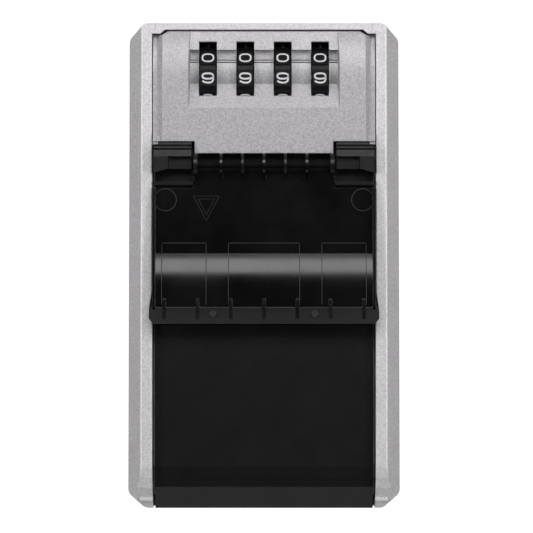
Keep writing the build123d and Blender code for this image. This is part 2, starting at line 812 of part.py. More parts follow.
def make_tab():
    """The right release tab: a grooved grip, a finger scoop under it and a stem to the slide."""
    back = skin_front - piece_gap
    scoop_face = tab_front + tab_scoop_depth
    tab = side_prism([
        (back, tab_low),
        (back, tab_top),
        (tab_front + tab_lean, tab_top),
        (tab_front, tab_edge_z),
        (tab_front, tab_low),
    ], tab_inner, tab_outer)
    tab = tab & front_prism([
        (tab_inner, tab_top),
        (panel_step_x - piece_gap, tab_top),
        (panel_step_x - piece_gap, tab_top - panel_step_drop),
        (tab_outer, tab_top - panel_step_drop),
        (tab_outer, tab_low),
        (tab_scoop_outer, tab_bottom),
        (tab_inner, tab_bottom),
    ], 0, tab_front)
    tab -= plan_prism([
        (tab_inner - overrun, tab_front - overrun),
        (tab_inner - overrun, scoop_face),
        (tab_scoop_outer - tab_scoop_run, scoop_face),
        (tab_scoop_outer, tab_front - overrun),
    ], tab_low, tab_edge_z)
    for step in range(tab_grooves):
        z = tab_top - tab_first_groove_drop - step * tab_groove_pitch
        y = tab_front + tab_lean * (z - tab_edge_z) / (tab_top - tab_edge_z)
        tab -= side_prism([
            (y - overrun, z + 2 * tab_groove),
            (y - overrun, z - 2 * tab_groove),
            (y + tab_groove, z),
        ], tab_inner - overrun, tab_outer + overrun)
    tab += block(stem_inner, stem_outer, back - overrun, slide_plate_front, stem_bottom, stem_top)
    return tab - rod_y(screw_radius + seat_fit, slide_plate_front - plate_screw_length,
                       slide_plate_front + overrun, stem_x, stem_z)


def make_spring(side):
    """A round-wire spring between the shelf and the slide's foot."""
    bottom = spring_shelf_top + piece_gap / 4
    top = slide_foot_bottom - piece_gap / 4
    radius = spring_radius - spring_wire
    low = bottom + spring_wire
    rise = top - bottom - 2 * spring_wire
    coil = Helix(pitch=rise / spring_turns, height=rise, radius=radius)
    start = coil @ 0
    section = Plane(origin=start, z_dir=coil % 0) * Circle(spring_wire)
    wire = sweep(section, path=coil, is_frenet=True)
    return Pos(side * spring_x, slide_plate_front + slide_plate_thickness / 2, low) * wire


def make_comb():
    """The reset comb: a steel bar under the code wheels with a tooth for each."""
    bar = block(-comb_half_width, comb_half_width, slide_plate_front, slide_back,
                comb_tip - comb_height, comb_tip)
    arm_top = dial_axis_z - code_wheel_radius - reset_travel - piece_gap
    for index in range(dial_count):
        x0 = wheel_x(index) - finger_width / 2
        x1 = wheel_x(index) + finger_width / 2
        bar += block(x0, x1, dial_y - finger_depth / 2, slide_plate_front,
                     comb_tip - comb_height / 2, arm_top)
        bar += block(x0, x1, dial_y - finger_depth / 2, dial_y + finger_depth / 2,
                     comb_tip - comb_height / 2, comb_tip)
    return bar


def make_knob():
    """The thumb piece that moves the reset comb, through the back plate."""
    return block(-knob_half_width, knob_half_width, slide_back, door_back + 2 * panel_thickness,
                 knob_bottom, knob_bottom + knob_height)


def make_back_plate():
    """The plate that closes the back of the mechanism, with a slot for the reset knob."""
    half = panel_flange_half_width
    plate = block(-half, half, door_back, door_back + case_back / 2,
                  door_deep_bottom, door_rear_top)
    plate -= block(-knob_half_width - piece_gap, knob_half_width + piece_gap, door_back - overrun,
                   0, knob_bottom - piece_gap, knob_bottom + knob_height + reset_travel + piece_gap)
    for side in (-1, 1):
        for z in plate_screw_z:
            plate -= rod_y(screw_radius + seat_fit, door_back - overrun, 0,
                           side * plate_screw_x, z)
    return plate


def lug_disc(x, thickness):
    """One hinge lug round the flap's pin."""
    return rod_x(lug_radius, x - thickness / 2, x + thickness / 2, flap_axis_y, flap_axis_z)


def make_skin():
    """The black lower cover of the door, with the flap's lugs and a lip under each tab."""
    gap = piece_gap / 2
    front_outline = mirrored([
        (skin_half_width, skin_foot_z),
        (skin_half_width, panel_step_z - gap),
        (panel_step_x - gap, panel_step_z - gap),
        (panel_step_x - gap, panel_notch_bottom - gap),
        (panel_notch_inner + gap, panel_notch_bottom - gap),
        (panel_notch_inner + gap, panel_bottom - gap),
    ])
    low = slanted_front(skin_front)
    low[-1] = (low[-1][0] - piece_gap, skin_foot_z)
    side_outline = low + [
        (low[-1][0] + skin_slant_thickness, skin_foot_z),
        (low[-2][0] + skin_thickness, low[-2][1] + piece_gap),
        (door_web_front, front_bend_z),
        (door_web_front, panel_notch_bottom),
        (skin_front, panel_notch_bottom),
    ]
    skin = side_prism(side_outline, -skin_half_width, skin_half_width)
    skin = skin & front_prism(front_outline, 0, panel_front)
    lug_x = [-end_lug_x, -lug_pitch, lug_pitch, end_lug_x]
    for x in lug_x:
        thickness = end_lug_thickness if abs(x) == end_lug_x else lug_thickness
        skin += lug_disc(x, thickness)
        skin += block(x - thickness / 2, x + thickness / 2, flap_axis_y, skin_front,
                      flap_axis_z - lug_root_drop, flap_axis_z + lug_root_rise)
    skin -= rod_x(flap_pin_radius + seat_fit, -skin_half_width, skin_half_width,
                  flap_axis_y, flap_axis_z)
    for side in (-1, 1):
        skin += block(side * (flap_notch_x + piece_gap), side * skin_half_width,
                      skin_front - tab_well_lip_reach, skin_front,
                      tab_well_lip_top - tab_well_lip_height, tab_well_lip_top)
        skin -= block(side * (stem_inner - piece_gap), side * (stem_outer + piece_gap),
                      skin_front - overrun, door_web_front + overrun,
                      stem_bottom - slide_travel - piece_gap, stem_top + piece_gap)
        for z in cover_screw_z:
            skin -= rod_y(screw_radius + seat_fit, skin_front + skin_thickness / 2,
                          door_web_front + overrun, side * cover_screw_x, z)
    return skin


def flap_sheet(offset, half, top_z):
    """The flap's curved sheet as a solid from its inner face out by its thickness."""
    inner = flap_axis_y + flap_offset
    low = flap_axis_y + flap_low_offset
    bend_mid_z = (flap_crease_z + flap_bend_end_z) / 2
    bend_mid = low + (inner - low) / 4
    t = offset
    edge_y = low - flap_lip_reach
    path = [
        Line((inner, top_z), (inner, flap_crease_z)),
        ThreePointArc((inner, flap_crease_z), (bend_mid, bend_mid_z), (low, flap_bend_end_z)),
        Line((low, flap_bend_end_z), (low, flap_lip_root_z)),
        Line((low, flap_lip_root_z), (edge_y, flap_lip_z)),
        Line((edge_y, flap_lip_z), (edge_y + t, flap_lip_z - t / 3)),
        Line((edge_y + t, flap_lip_z - t / 3), (low + t, flap_lip_root_z - t / 2)),
        Line((low + t, flap_lip_root_z - t / 2), (low + t, flap_bend_end_z)),
        ThreePointArc((low + t, flap_bend_end_z), (bend_mid + t, bend_mid_z),
                      (inner + t, flap_crease_z)),
        Line((inner + t, flap_crease_z), (inner + t, top_z)),
        Line((inner + t, top_z), (inner, top_z)),
    ]
    face = make_face(Plane.YZ.offset(-half) * Curve(path))
    return extrude(face, amount=2 * half, dir=(1, 0, 0))


def make_flap():
    """The weather cover in its open place: sheet, side edges, rain lip, ribs and lugs."""
    inner = flap_axis_y + flap_offset
    low = flap_axis_y + flap_low_offset
    sheet = flap_sheet(flap_thickness, flap_lip_half_width, flap_top)
    outline = mirrored([
        (flap_lip_half_width - 2 * flap_thickness, flap_lip_z - flap_thickness),
        (flap_lip_half_width, flap_lip_z + flap_thickness),
        (flap_lip_half_width, flap_lip_root_z),
        (flap_half_width, flap_bend_end_z),
        (flap_half_width, flap_notch_z),
        (flap_notch_x, flap_notch_z),
        (flap_notch_x, flap_top),
    ])
    flap = sheet & front_prism(outline, 0, -2 * case_depth)
    for side in (-1, 1):
        edge = side_prism([
            (inner + flap_thickness, flap_notch_z),
            (inner - flap_side_height, flap_notch_z),
            (low - flap_side_height / 2, flap_bend_end_z),
            (low - flap_side_height / 2, flap_lip_root_z),
            (low + flap_thickness, flap_lip_root_z),
            (low + flap_thickness, flap_bend_end_z),
            (inner + flap_thickness, flap_crease_z),
        ], side * flap_half_width, side * (flap_half_width - flap_side_width))
        flap += edge
    rib_count = 3
    for step in range(-rib_count, rib_count + 1):
        x = step * flap_rib_pitch
        rib = side_prism([
            (low + flap_thickness / 2, flap_rib_top),
            (low, flap_rib_top),
            (low - flap_rib_reach, flap_rib_bottom),
            (low - flap_rib_foot_reach, flap_rib_bottom - flap_rib_thickness / 2),
            (low + flap_thickness / 2, flap_lip_root_z),
        ], x - flap_rib_thickness / 2, x + flap_rib_thickness / 2)
        flap += rib
    for x in (-2 * lug_pitch, 0, 2 * lug_pitch):
        flap += lug_disc(x, lug_thickness)
        arm = side_prism([
            (flap_axis_y, flap_axis_z - lug_radius),
            (inner, flap_top - flap_thickness),
            (inner + flap_thickness, flap_top - flap_thickness),
            (inner + flap_thickness, flap_top),
            (flap_axis_y + flap_arm_rise, flap_axis_z),
            (flap_axis_y, flap_axis_z),
        ], x - lug_thickness / 2, x + lug_thickness / 2)
        flap += arm
    flap -= rod_x(flap_pin_radius + pin_fit, -flap_notch_x, flap_notch_x,
                  flap_axis_y, flap_axis_z)
    return flap


def make_bumper(x):
    """A small rubber foot on the flap's lip."""
    low = flap_axis_y + flap_low_offset
    slope = flap_lip_reach / (flap_lip_root_z - flap_lip_z)
    y = low - (flap_lip_root_z - bumper_z) * slope
    foot = rod_y(bumper_radius, y - bumper_height, y + bumper_height / 2, x, bumper_z)
    sheet = flap_sheet(flap_thickness, flap_half_width, flap_top)
    return foot - sheet


save("housing", make_housing())
for name, side in (("left", -1), ("right", 1)):
    save(f"strike_{name}", make_strike(side * strike_x))
    save(f"strike_screw_{name}", strike_screw(side * strike_x))
    save(f"shackle_plug_{name}", make_plug(side * plug_x))
save("cavity_liner", make_liner())
save("key_hooks", make_hook_bar())
save("door_pin", rod_x(door_pin_radius, -cavity_half + piece_gap, cavity_half - piece_gap,
                       door_pin_y, door_pin_z))
save("door_casting", make_casting())
save("lower_cover", make_skin())
save("back_plate", make_back_plate())
save("flap_pin", rod_x(flap_pin_radius, -end_lug_x - end_lug_thickness / 2,
                       end_lug_x + end_lug_thickness / 2, flap_axis_y, flap_axis_z))
save("dial_axle", make_axle())
save("axle_spacer", make_spacer())
save("detent_spring", make_detent())
for index in range(dial_count):
    save(f"dial_{index + 1}", make_dial(index))
    save(f"code_wheel_{index + 1}", make_code_wheel(index))
save("release_slide", make_slide_plate())
for name, side in (("left", -1), ("right", 1)):
    tab = make_tab()
    bolt = make_bolt()
    if side < 0:
        tab = mirror(tab, about=Plane.YZ)
        bolt = mirror(bolt, about=Plane.YZ)
    save(f"release_tab_{name}", tab)
    save(f"latch_bolt_{name}", bolt)
    save(f"release_spring_{name}", make_spring(side))
    save(f"tab_screw_{name}",
         screw(side * stem_x, stem_z, slide_back, slide_plate_front - plate_screw_length / 2))
    for place, z in zip(("lower", "upper"), plate_screw_z):
        save(f"plate_screw_{place}_{name}",
             screw(side * plate_screw_x, z, door_back + case_back / 2,
                   door_back - plate_screw_length / 2))
    for place, z in zip(("lower", "upper"), cover_screw_z):
        save(f"cover_screw_{place}_{name}",
             screw(side * cover_screw_x, z, door_web_back, door_web_front - skin_thickness / 3))
    save(f"flap_bumper_{name}", make_bumper(side * bumper_x))
save("reset_comb", make_comb())
save("reset_knob", make_knob())
save("flap", make_flap())
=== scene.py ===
import json
import math

import bmesh
import bpy
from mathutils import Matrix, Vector


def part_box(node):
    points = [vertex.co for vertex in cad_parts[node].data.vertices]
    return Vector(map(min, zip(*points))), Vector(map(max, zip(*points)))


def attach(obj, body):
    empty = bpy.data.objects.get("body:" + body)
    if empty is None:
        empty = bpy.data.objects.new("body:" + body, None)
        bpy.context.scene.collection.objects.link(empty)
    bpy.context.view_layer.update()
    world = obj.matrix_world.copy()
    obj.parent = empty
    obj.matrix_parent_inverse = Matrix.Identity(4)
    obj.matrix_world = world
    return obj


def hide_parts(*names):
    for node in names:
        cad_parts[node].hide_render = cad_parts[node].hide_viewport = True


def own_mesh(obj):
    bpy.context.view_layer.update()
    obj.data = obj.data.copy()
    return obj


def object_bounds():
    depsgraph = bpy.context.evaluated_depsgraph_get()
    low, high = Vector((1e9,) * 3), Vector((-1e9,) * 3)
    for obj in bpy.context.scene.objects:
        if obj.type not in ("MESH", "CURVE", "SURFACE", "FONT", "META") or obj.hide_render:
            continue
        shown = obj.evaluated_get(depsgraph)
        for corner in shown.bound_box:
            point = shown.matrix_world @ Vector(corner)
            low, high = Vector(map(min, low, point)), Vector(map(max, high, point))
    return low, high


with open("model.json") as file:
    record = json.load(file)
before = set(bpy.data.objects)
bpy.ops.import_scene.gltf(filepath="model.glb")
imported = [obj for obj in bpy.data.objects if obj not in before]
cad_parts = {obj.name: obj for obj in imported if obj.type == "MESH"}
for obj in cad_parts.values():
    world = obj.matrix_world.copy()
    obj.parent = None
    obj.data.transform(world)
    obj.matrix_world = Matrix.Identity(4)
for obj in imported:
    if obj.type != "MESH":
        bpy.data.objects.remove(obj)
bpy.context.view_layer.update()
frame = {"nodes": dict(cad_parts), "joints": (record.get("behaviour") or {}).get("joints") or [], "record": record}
nodes = frame["nodes"]
joint_at = {joint["name"]: Vector(joint["pos_m"]) for joint in frame["joints"] if "pos_m" in joint}

# Case and door casting: high-pressure zinc die castings, shot-blasted and sprayed with a silver
# paint. The metal flakes and the blasted skin under them give a fine salt-and-pepper grain, and
# the paint is thin over the edges, which catch a line of light.


def linear(hex_colour):
    """An sRGB hex colour as the linear colour that a shader wants."""
    channels = [int(hex_colour[i:i + 2], 16) / 255 for i in (1, 3, 5)]
    return [c / 12.92 if c <= 0.04045 else ((c + 0.055) / 1.055) ** 2.4 for c in channels] + [1]


def add(tree, kind, settings=(), inputs=()):
    """Adds a shader node with its settings, and its inputs as values or as links."""
    made = tree.nodes.new("ShaderNode" + kind)
    for name, value in dict(settings).items():
        setattr(made, name, value)
    for name, value in dict(inputs).items():
        if isinstance(value, bpy.types.NodeSocket):
            tree.links.new(value, made.inputs[name])
        else:
            made.inputs[name].default_value = value
    return made


def new_material(name):
    """An empty material, its surface shader and the point it is shaded at."""
    material = bpy.data.materials.new(name)
    material.use_nodes = True
    tree = material.node_tree
    surface = tree.nodes["Principled BSDF"]
    place = add(tree, "TexCoord").outputs["Object"]
    return material, tree, surface, place


def grain(tree, place, size_mm, detail=2.0, roughness=0.6):
    """Noise whose lumps are about this many millimetres across."""
    settings = {"Vector": place, "Scale": 1000 / size_mm, "Detail": detail, "Roughness": roughness}
    return add(tree, "TexNoise", inputs=settings).outputs["Fac"]


def spread(tree, value, reach, low=0.0, high=1.0):
    """Stretches a noise, from this reach to each side of one half, to another range."""
    ends = {"Value": value, "From Min": 0.5 - reach, "From Max": 0.5 + reach,
            "To Min": low, "To Max": high}
    return add(tree, "MapRange", inputs=ends).outputs["Result"]


def tint(tree, surface, amount, dark, light):
    """Colours a surface between two hex colours."""
    mixed = add(tree, "Mix", {"data_type": "RGBA"})
    tree.links.new(amount, mixed.inputs["Factor"])
    mixed.inputs["A"].default_value = linear(dark)
    mixed.inputs["B"].default_value = linear(light)
    tree.links.new(mixed.outputs["Result"], surface.inputs["Base Color"])


def dull(tree, surface, amount):
    """Lets a pattern set how rough a surface is."""
    tree.links.new(amount, surface.inputs["Roughness"])


def relief(tree, surface, height, depth_mm, edge_mm):
    """Bumps of this depth on a skin whose edges are eased by this radius."""
    eased = add(tree, "Bevel", {"samples": 4}, {"Radius": edge_mm / 1000}).outputs["Normal"]
    bumps = {"Height": height, "Distance": depth_mm / 1000, "Normal": eased}
    tree.links.new(add(tree, "Bump", inputs=bumps).outputs["Normal"], surface.inputs["Normal"])


def paint_node(name, material):
    """Gives a CAD node this material in all its slots."""
    piece = nodes[name]
    if not piece.material_slots:
        piece.data.materials.append(material)
    for slot in piece.material_slots:
        slot.material = material


# How far a noise is read to each side of its middle: soft clouds or crisp specks.
soft = 0.2
crisp = 0.14

# The real flakes are finer than a pixel, so the grain is drawn as coarse as it needs to show.
paint_grain_mm = 0.75
paint_cloud_mm = 9.0


def silver_paint(name, dark, light):
    """Silver paint between two tones. The case and its door get a lighter and a darker copy of one paint, as
    painted light and painted shade.
    """
    material, tree, surface, place = new_material(name)
    flakes = grain(tree, place, paint_grain_mm, detail=3.0, roughness=0.7)
    speckle = spread(tree, flakes, crisp)
    tint(tree, surface, speckle, dark, light)
    dull(tree, surface, spread(tree, grain(tree, place, paint_cloud_mm), soft, 0.43, 0.51))
    surface.inputs["Metallic"].default_value = 0.35
    relief(tree, surface, speckle, depth_mm=0.03, edge_mm=0.35)
    return material


# One silver paint in two copies: the case's is drawn lighter, as painted light on its rim, and the door's darker,
# as painted shade on its panel.
lit_case_paint = silver_paint("silver_paint_with_painted_light_on_case", "#C1BFC1", "#D9D7D9")
shaded_door_paint = silver_paint("silver_paint_with_painted_shade_on_door", "#9D9B9E", "#B7B5B8")
paint_node("housing", lit_case_paint)
paint_node("door_casting", shaded_door_paint)

# Lower cover of the door: one ABS moulding with a fine spark-eroded grain. It is satin, so it
# shows soft grey sheen and no mirror image. It is screwed on from inside the door.
satin_grain_mm = 0.4
satin_cloud_mm = 14.0
satin_black, tree, surface, place = new_material("satin_black_abs")
pits = grain(tree, place, satin_grain_mm)
cloud = spread(tree, grain(tree, place, satin_cloud_mm), soft)
tint(tree, surface, cloud, "#0D0D0E", "#121213")
dull(tree, surface, spread(tree, pits, soft, 0.30, 0.38))
surface.inputs["Specular IOR Level"].default_value = 0.35
relief(tree, surface, pits, depth_mm=0.012, edge_mm=0.3)
paint_node("lower_cover", satin_black)

# Release tabs and the reset knob: glass-filled nylon, moulded a little duller than the cover.
# Each tab is screwed to the slide behind the door, and the knob is pressed onto the comb's bar.
nylon_flow_mm = 2.5
nylon_grain_mm = 0.5
nylon, tree, surface, place = new_material("moulded_black_nylon")
flow = grain(tree, place, nylon_flow_mm, detail=3.0)
tint(tree, surface, spread(tree, flow, soft), "#0E0E0F", "#141415")
dull(tree, surface, spread(tree, flow, soft, 0.40, 0.52))
surface.inputs["Specular IOR Level"].default_value = 0.3
relief(tree, surface, grain(tree, place, nylon_grain_mm), depth_mm=0.01, edge_mm=0.25)
for name in ("release_tab_left", "release_tab_right", "reset_knob"):
    paint_node(name, nylon)

# Weather cover: a thin polycarbonate moulding in smoke black, polished inside and out. The light
# from above lies in a broad band where the sheet bends. It turns on a pin across the door.
sheet_haze_mm = 22.0
sheet_ripple_mm = 6.0
smoke_black, tree, surface, place = new_material("polished_smoke_polycarbonate")
haze = grain(tree, place, sheet_haze_mm, detail=3.0)
tint(tree, surface, spread(tree, haze, soft), "#030304", "#060607")
dull(tree, surface, spread(tree, haze, soft, 0.17, 0.25))
relief(tree, surface, grain(tree, place, sheet_ripple_mm), depth_mm=0.01, edge_mm=0.3)
paint_node("flap", smoke_black)

# Moulded marks on the weather cover's inner side: low ridges round three flat fields, two gate rings and a bare
# triangle. They are part of the same moulding, rough from the spark-eroded mould, and stand two tenths of a
# millimetre up. Their grey, far lighter than the sheet, is painted highlight for the light caught on their edges.
mm = 0.001
ridge_width = 0.35 * mm
ridge_height = 0.2 * mm
ridge_section = ((-1, -1), (-0.6, 1), (0.6, 1), (1, -1))
flap_axis = joint_at["flap_hinge"]
sheet_face = flap_axis.y + 4.0 * mm
bend_face = flap_axis.y + 1.2 * mm
crease_z = flap_axis.z - 33.6 * mm
bend_end_z = flap_axis.z - 46.1 * mm


def sheet_depth(z):
    """How far forward the weather cover's inner face lies at this height."""
    if z >= crease_z:
        return sheet_face
    if z <= bend_end_z:
        return bend_face
    drop = sheet_face - bend_face
    height = crease_z - bend_end_z
    radius = (height ** 2 + drop ** 2) / (2 * drop)
    return bend_face + radius - math.sqrt(radius ** 2 - (z - bend_end_z) ** 2)


def skin_over(mesh, rings, closed):
    """Lays faces over a row of four-cornered rings, and caps its ends if it isn't closed."""
    count = len(rings)
    for i in range(count if closed else count - 1):
        first, second = rings[i], rings[(i + 1) % count]
        for k in range(4):
            mesh.faces.new((first[k], first[(k + 1) % 4], second[(k + 1) % 4], second[k]))
    if not closed:
        mesh.faces.new(rings[0])
        mesh.faces.new(reversed(rings[-1]))


def ridge(mesh, points, closed=False):
    """A low ridge along a line of (x, z) points on the weather cover's inner face."""
    count = len(points)
    rings = []
    for i, (x, z) in enumerate(points):
        before = points[(i - 1) % count] if closed or i > 0 else points[i]
        after = points[(i + 1) % count] if closed or i < count - 1 else points[i]
        along = Vector((after[0] - before[0], after[1] - before[1])).normalized()
        side = Vector((-along.y, along.x)) * ridge_width / 2
        ring = []
        for offset, lift in ridge_section:
            spot = Vector((x, z)) + side * offset
            y = sheet_depth(spot.y) - lift * ridge_height
            ring.append(mesh.verts.new((spot.x, y, spot.y)))
        rings.append(ring)
    skin_over(mesh, rings, closed)


def finish_piece(mesh, name, material, body):
    """Turns a built mesh into a piece that rides on a body."""
    bmesh.ops.recalc_face_normals(mesh, faces=mesh.faces)
    data = bpy.data.meshes.new(name)
    mesh.to_mesh(data)
    mesh.free()
    data.materials.append(material)
    piece = bpy.data.objects.new(name, data)
    bpy.context.scene.collection.objects.link(piece)
    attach(piece, body)


eroded_grain_mm = 0.5
eroded, tree, surface, place = new_material("spark_eroded_smoke_polycarbonate_with_painted_highlight")
pits = spread(tree, grain(tree, place, eroded_grain_mm), soft)
# Painted highlight: a grey far lighter than the sheet's smoke black, for the light caught on the ridges' edges.
tint(tree, surface, pits, "#1D1D20", "#2A2A2D")
surface.inputs["Roughness"].default_value = 0.5

marks = bmesh.new()
field_top = flap_axis.z - 29.5 * mm
field_bottom = flap_axis.z - 52.6 * mm
field_spans = ((-38.5 * mm, -21.8 * mm), (-13.4 * mm, 13.4 * mm), (21.8 * mm, 38.5 * mm))
field_steps = 24
field_step = (field_bottom - field_top) / field_steps
for left, right in field_spans:
    down = [field_top + field_step * i for i in range(field_steps + 1)]
    ridge(marks, [(left, z) for z in reversed(down)] + [(right, z) for z in down])

ring_x = 37.2 * mm
ring_z = flap_axis.z - 13.2 * mm
ring_radius = 4.15 * mm
ring_steps = 40
ring_turns = [2 * math.pi * i / ring_steps for i in range(ring_steps)]
for centre in (-ring_x, ring_x):
    ridge(marks, [(centre + ring_radius * math.cos(turn), ring_z + ring_radius * math.sin(turn))
                  for turn in ring_turns], closed=True)

triangle_middle = -21.7 * mm
triangle_half = 4.9 * mm
triangle_band = 1.1 * mm
triangle_top = flap_axis.z - 11.8 * mm
triangle_bottom = flap_axis.z - 21.1 * mm
slope = (triangle_top - triangle_bottom) / triangle_half
edge = math.hypot(1, slope)
for inset in (0, triangle_band):
    half = triangle_half - inset * (edge + 1) / slope
    ridge(marks, [(triangle_middle - half, triangle_top - inset),
                  (triangle_middle + half, triangle_top - inset),
                  (triangle_middle, triangle_bottom + inset * edge)], closed=True)
finish_piece(marks, "flap_moulded_marks", eroded, "flap")

# The weather cover's pin: drawn steel with a black oxide skin, oiled. It is dull and dark from the oxide, and
# drawn near black as painted shade, so that it reads as the shade between the lugs that turn on it.
clear = 0.15
oil_film_mm = 1.2
oxide_grain_mm = 0.4
black_oxide_with_painted_shade, tree, surface, place = new_material("black_oxide_steel_with_painted_shade")
oil = grain(tree, place, oil_film_mm, detail=3.0)
# Painted shade: a near-black tone, so that the pin reads as the shade between the lugs.
tint(tree, surface, spread(tree, oil, clear), "#070707", "#0C0C0D")
dull(tree, surface, spread(tree, oil, soft, 0.6, 0.7))
surface.inputs["Specular IOR Level"].default_value = 0.1
relief(tree, surface, grain(tree, place, oxide_grain_mm), depth_mm=0.01, edge_mm=0.2)
paint_node("flap_pin", black_oxide_with_painted_shade)

# Dials: ten-sided acetal wheels, moulded black with a grip groove between the figures. They are a
# close satin, polished by fingers on the lands.
dial_wear_mm = 1.6
dial_grain_mm = 0.4
acetal, tree, surface, place = new_material("moulded_black_acetal")
wear = grain(tree, place, dial_wear_mm, detail=3.0)
tint(tree, surface, spread(tree, wear, clear), "#070709", "#0D0D10")
dull(tree, surface, spread(tree, wear, clear, 0.42, 0.54))
surface.inputs["Specular IOR Level"].default_value = 0.25
relief(tree, surface, grain(tree, place, dial_grain_mm), depth_mm=0.008, edge_mm=0.25)

# The dials' figures: white enamel, filled into the moulded lands and wiped. It stands a hair's
# breadth up, is chalky and dull, and turns with its dial.
enamel_chip_mm = 0.5
enamel, tree, surface, place = new_material("white_filled_enamel")
chips = grain(tree, place, enamel_chip_mm, detail=3.0)
tint(tree, surface, spread(tree, chips, clear), "#BFBFC1", "#D2D2D4")
surface.inputs["Roughness"].default_value = 0.45

figure_width = 4.8 * mm
figure_height = 4.15 * mm
figure_stroke = 0.66 * mm
figure_build = 0.04 * mm
figure_root = -0.06 * mm
sharpest_corner = 0.5
land_radius = 13.05 * mm
digit_turn = math.radians(36)
zero_angle = math.radians(33.5)


def rounded(points, rounds=3):
    """Cuts the corners of a line of points again and again, so that it curves."""
    near, far = 0.75, 0.25
    for _ in range(rounds):
        cut = [points[0]]
        for (x0, z0), (x1, z1) in zip(points, points[1:]):
            cut.append((x0 * near + x1 * far, z0 * near + z1 * far))
            cut.append((x0 * far + x1 * near, z0 * far + z1 * near))
        cut.append(points[-1])
        points = cut
    return points


def loop(middle, half_width, half_height, steps=36):
    """A closed squarish oval."""
    squareness = 0.78
    points = []
    for i in range(steps + 1):
        a = 2 * math.pi * i / steps
        c, s = math.cos(a), math.sin(a)
        points.append((half_width * math.copysign(abs(c) ** squareness, c),
                       middle + half_height * math.copysign(abs(s) ** squareness, s)))
    return points


def turned(strokes):
    """The same strokes upside down."""
    return [[(-x, -z) for x, z in stroke] for stroke in strokes]


# Strokes of the figures 0 to 9, in shares of half a figure's width and height.
six = [loop(-0.42, 0.97, 0.58),
       rounded([(-0.97, -0.42), (-0.97, 0.55), (-0.55, 1.0), (0.35, 1.0), (0.85, 0.72)])]
figures = [
    [loop(0, 1.0, 1.0)],
    [[(-0.4, 0.62), (0.08, 1.0), (0.08, -1.0)]],
    [rounded([(-0.9, 0.5), (-0.75, 1.0), (0.75, 1.0), (1.0, 0.35), (-0.95, -1.0)]),
     [(-0.95, -1.0), (1.0, -1.0)]],
    [rounded([(-0.9, 0.65), (-0.6, 1.0), (0.7, 1.0), (0.95, 0.3), (0.1, 0.05)]),
     rounded([(0.1, 0.05), (1.05, 0.0), (1.0, -1.0), (-0.65, -1.0), (-0.95, -0.6)])],
    [[(0.45, -1.0), (0.45, 1.0), (-0.95, -0.45), (1.0, -0.45)]],
    [[(0.85, 1.0), (-0.75, 1.0), (-0.85, 0.12)],
     rounded([(-0.85, 0.12), (0.2, 0.45), (1.05, 0.25), (1.0, -1.0), (-0.65, -1.0),
              (-0.95, -0.6)])],
    six,
    [[(-0.9, 1.0), (0.95, 1.0), (-0.35, -1.0)]],
    [loop(0.5, 0.82, 0.5), loop(-0.46, 0.99, 0.54)],
    turned(six),
]


def figure_stroke_mesh(mesh, points, centre, angle):
    """One stroke of a figure on a dial's land, as a thin raised band."""
    half_w = (figure_width - figure_stroke) / 2
    half_h = (figure_height - figure_stroke) / 2
    flat = [Vector((x * half_w, z * half_h)) for x, z in points]
    closed = (flat[0] - flat[-1]).length < figure_stroke / 10
    if closed:
        flat = flat[:-1]
    count = len(flat)
    corners = ((-1, figure_root), (-1, figure_build), (1, figure_build), (1, figure_root))
    rings = []
    for i, spot in enumerate(flat):
        before = flat[i - 1] if closed or i > 0 else spot
        after = flat[(i + 1) % count] if closed or i < count - 1 else spot
        into = (spot - before).normalized() if before is not spot else (after - spot).normalized()
        out = (after - spot).normalized() if after is not spot else into
        bend = (into + out).normalized()
        widen = 1 / max(sharpest_corner, bend.dot(out))
        side = Vector((-bend.y, bend.x)) * figure_stroke / 2 * widen
        middle = spot.copy()
        if not closed and i == 0:
            middle -= out * figure_stroke / 2
        if not closed and i == count - 1:
            middle += into * figure_stroke / 2
        ring = []
        for offset, lift in corners:
            u, v = middle + side * offset
            reach = land_radius + lift
            ring.append(mesh.verts.new((
                centre.x + u,
                centre.y - reach * math.cos(angle) + v * math.sin(angle),
                centre.z + reach * math.sin(angle) + v * math.cos(angle))))
        rings.append(ring)
    skin_over(mesh, rings, closed)


for number in range(1, 5):
    dial = f"dial_{number}"
    paint_node(dial, acetal)
    low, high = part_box(dial)
    centre = joint_at[f"{dial}_spin"].copy()
    centre.x = (low.x + high.x) / 2
    ink = bmesh.new()
    for value, strokes in enumerate(figures):
        for stroke in strokes:
            figure_stroke_mesh(ink, stroke, centre, zero_angle + value * digit_turn)
    finish_piece(ink, f"{dial}_figures", enamel, dial)

# Plates, pins, axle, screws, slide, bolts, springs and strikes: mild steel, turned or pressed, then
# zinc-plated. The plating is bright with a faint cloudiness and a fine drawn grain.
plating_cloud_mm = 3.0
drawn_grain_mm = 0.3
plated, tree, surface, place = new_material("zinc_plated_steel")
cloud = grain(tree, place, plating_cloud_mm, detail=3.0)
tint(tree, surface, spread(tree, cloud, soft), "#A5A6A8", "#C4C5C8")
dull(tree, surface, spread(tree, cloud, soft, 0.25, 0.40))
surface.inputs["Metallic"].default_value = 1.0
relief(tree, surface, grain(tree, place, drawn_grain_mm), depth_mm=0.01, edge_mm=0.2)

# The axle's spacer: free-cutting brass, turned on a lathe, so fine rings go round it. It sits on
# the axle to the left of the first dial.
turning_pitch = 0.349 * mm
ring_swerve = 0.4
waves_per_unit = 20 / (2 * math.pi)
brass, tree, surface, place = new_material("turned_brass")
rings = add(tree, "TexWave", {"wave_type": "RINGS", "rings_direction": "X"},
            {"Vector": place, "Scale": 1 / (turning_pitch * waves_per_unit),
             "Distortion": ring_swerve}).outputs["Fac"]
tint(tree, surface, rings, "#B08D57", "#CBA76A")
surface.inputs["Roughness"].default_value = 0.32
surface.inputs["Metallic"].default_value = 1.0
relief(tree, surface, rings, depth_mm=0.008, edge_mm=0.2)

